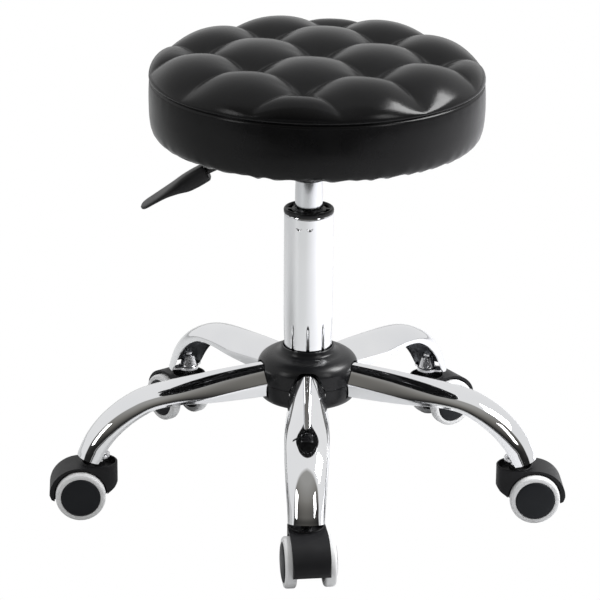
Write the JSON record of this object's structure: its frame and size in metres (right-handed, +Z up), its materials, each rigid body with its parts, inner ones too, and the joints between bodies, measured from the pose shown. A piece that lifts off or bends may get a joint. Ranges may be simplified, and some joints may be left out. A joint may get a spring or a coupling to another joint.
{
  "type": "rolling stylist stool",
  "caption": "Backless round stool with a tufted padded seat on a lever-operated gas lift, standing on a star base of arched chrome legs with hooded twin-wheel casters.",
  "frame": {"origin": "middle of the stool's footprint box, on the floor; the column's axis stands 21.9 mm behind it (+Y)", "axes": "+Z up along the column, -Y towards the front leg, -X towards the height lever"},
  "size_m": [0.5189, 0.4982, 0.471],
  "materials": {
    "chrome": "mirror-bright plating",
    "steel": "satin bare steel",
    "black_steel": "satin black coating",
    "hub_plastic": "satin black moulding",
    "caster_plastic": "satin charcoal moulding",
    "disc_plastic": "smooth black moulding",
    "ring_plastic": "satin black moulding",
    "lever_plastic": "satin black moulding",
    "tyre": "pale grey polyurethane tread",
    "leather": "glossy black coated fabric",
    "plywood": "bare plywood",
    "foam": "upholstery foam"
  },
  "bodies": {
    "base": {"leg_1": "chrome", "leg_2": "chrome", "leg_3": "chrome", "leg_4": "chrome", "leg_5": "chrome", "hub_core": "steel", "hub_cover_top": "hub_plastic", "hub_cover_bottom": "hub_plastic", "outer_tube": "chrome", "guide_bush": "ring_plastic"},
    "gas_rod": {"piston_rod": "steel", "thrust_bearing": "steel", "retaining_clip": "steel"},
    "seat": {"gas_cylinder": "steel", "seat_plate": "black_steel", "seat_bolt_1": "steel", "seat_bolt_2": "steel", "seat_bolt_3": "steel", "seat_bolt_4": "steel", "seat_board": "plywood", "seat_foam": "foam", "seat_cover": "leather"},
    "lever": {"lever_rod": "black_steel", "lever_handle": "lever_plastic"},
    "release": {"release_pin": "steel"},
    "caster_1": {"caster_hood_1": "caster_plastic", "caster_stem_1": "steel", "caster_axle_1": "steel"},
    "wheel_1a": {"wheel_core_1a": "disc_plastic", "tyre_1a": "tyre"},
    "wheel_1b": {"wheel_core_1b": "disc_plastic", "tyre_1b": "tyre"},
    "caster_2": {"caster_hood_2": "caster_plastic", "caster_stem_2": "steel", "caster_axle_2": "steel"},
    "wheel_2a": {"wheel_core_2a": "disc_plastic", "tyre_2a": "tyre"},
    "wheel_2b": {"wheel_core_2b": "disc_plastic", "tyre_2b": "tyre"},
    "caster_3": {"caster_hood_3": "caster_plastic", "caster_stem_3": "steel", "caster_axle_3": "steel"},
    "wheel_3a": {"wheel_core_3a": "disc_plastic", "tyre_3a": "tyre"},
    "wheel_3b": {"wheel_core_3b": "disc_plastic", "tyre_3b": "tyre"},
    "caster_4": {"caster_hood_4": "caster_plastic", "caster_stem_4": "steel", "caster_axle_4": "steel"},
    "wheel_4a": {"wheel_core_4a": "disc_plastic", "tyre_4a": "tyre"},
    "wheel_4b": {"wheel_core_4b": "disc_plastic", "tyre_4b": "tyre"},
    "caster_5": {"caster_hood_5": "caster_plastic", "caster_stem_5": "steel", "caster_axle_5": "steel"},
    "wheel_5a": {"wheel_core_5a": "disc_plastic", "tyre_5a": "tyre"},
    "wheel_5b": {"wheel_core_5b": "disc_plastic", "tyre_5b": "tyre"}
  },
  "joints": [
    {"name": "seat_swivel", "type": "hinge", "parent": "base", "child": "gas_rod", "pos_m": [0, 0.0219, 0.3], "axis": [0, 0, 1], "continuous": true},
    {"name": "seat_height", "type": "slide", "parent": "gas_rod", "child": "seat", "axis": [0, 0, 1], "range_m": [-0.029, 0.087]},
    {"name": "lever_lift", "type": "hinge", "parent": "seat", "child": "lever", "pos_m": [-0.032, 0.0219, 0.3617], "axis": [0, 1, 0], "range_deg": [0, 7], "stiffness_Nm_per_rad": 0.8, "springref_deg": -3.44},
    {"name": "release_press", "type": "slide", "parent": "seat", "child": "release", "axis": [0, 0, -1], "range_m": [0, 0.004]},
    {"name": "caster_swivel_1", "type": "hinge", "parent": "base", "child": "caster_1", "pos_m": [0, -0.1971, 0.06], "axis": [0, 0, 1], "continuous": true},
    {"name": "wheel_roll_1a", "type": "hinge", "parent": "caster_1", "child": "wheel_1a", "pos_m": [0.00248, -0.21594, 0.02469], "axis": [0.9914, 0.1305, 0], "continuous": true},
    {"name": "wheel_roll_1b", "type": "hinge", "parent": "caster_1", "child": "wheel_1b", "pos_m": [0.00248, -0.21594, 0.02469], "axis": [0.9914, 0.1305, 0], "continuous": true},
    {"name": "caster_swivel_2", "type": "hinge", "parent": "base", "child": "caster_2", "pos_m": [0.20828, -0.04578, 0.06], "axis": [0, 0, 1], "continuous": true},
    {"name": "wheel_roll_2a", "type": "hinge", "parent": "caster_2", "child": "wheel_2a", "pos_m": [0.22726, -0.04478, 0.02469], "axis": [-0.0523, 0.9986, 0], "continuous": true},
    {"name": "wheel_roll_2b", "type": "hinge", "parent": "caster_2", "child": "wheel_2b", "pos_m": [0.22726, -0.04478, 0.02469], "axis": [-0.0523, 0.9986, 0], "continuous": true},
    {"name": "caster_swivel_3", "type": "hinge", "parent": "base", "child": "caster_3", "pos_m": [0.12873, 0.19908, 0.06], "axis": [0, 0, 1], "continuous": true},
    {"name": "wheel_roll_3a", "type": "hinge", "parent": "caster_3", "child": "wheel_3a", "pos_m": [0.14466, 0.20942, 0.02469], "axis": [-0.5446, 0.8387, 0], "continuous": true},
    {"name": "wheel_roll_3b", "type": "hinge", "parent": "caster_3", "child": "wheel_3b", "pos_m": [0.14466, 0.20942, 0.02469], "axis": [-0.5446, 0.8387, 0], "continuous": true},
    {"name": "caster_swivel_4", "type": "hinge", "parent": "base", "child": "caster_4", "pos_m": [-0.12873, 0.19908, 0.06], "axis": [0, 0, 1], "continuous": true},
    {"name": "wheel_roll_4a", "type": "hinge", "parent": "caster_4", "child": "wheel_4a", "pos_m": [-0.14055, 0.21394, 0.02469], "axis": [-0.7826, -0.6225, 0], "continuous": true},
    {"name": "wheel_roll_4b", "type": "hinge", "parent": "caster_4", "child": "wheel_4b", "pos_m": [-0.14055, 0.21394, 0.02469], "axis": [-0.7826, -0.6225, 0], "continuous": true},
    {"name": "caster_swivel_5", "type": "hinge", "parent": "base", "child": "caster_5", "pos_m": [-0.20828, -0.04578, 0.06], "axis": [0, 0, 1], "continuous": true},
    {"name": "wheel_roll_5a", "type": "hinge", "parent": "caster_5", "child": "wheel_5a", "pos_m": [-0.22723, -0.0471, 0.02469], "axis": [0.0698, -0.9976, 0], "continuous": true},
    {"name": "wheel_roll_5b", "type": "hinge", "parent": "caster_5", "child": "wheel_5b", "pos_m": [-0.22723, -0.0471, 0.02469], "axis": [0.0698, -0.9976, 0], "continuous": true}
  ],
  "couplings": [
    {"joint": "release_press", "follows": "lever_lift", "m_per_rad": 0.032}
  ]
}
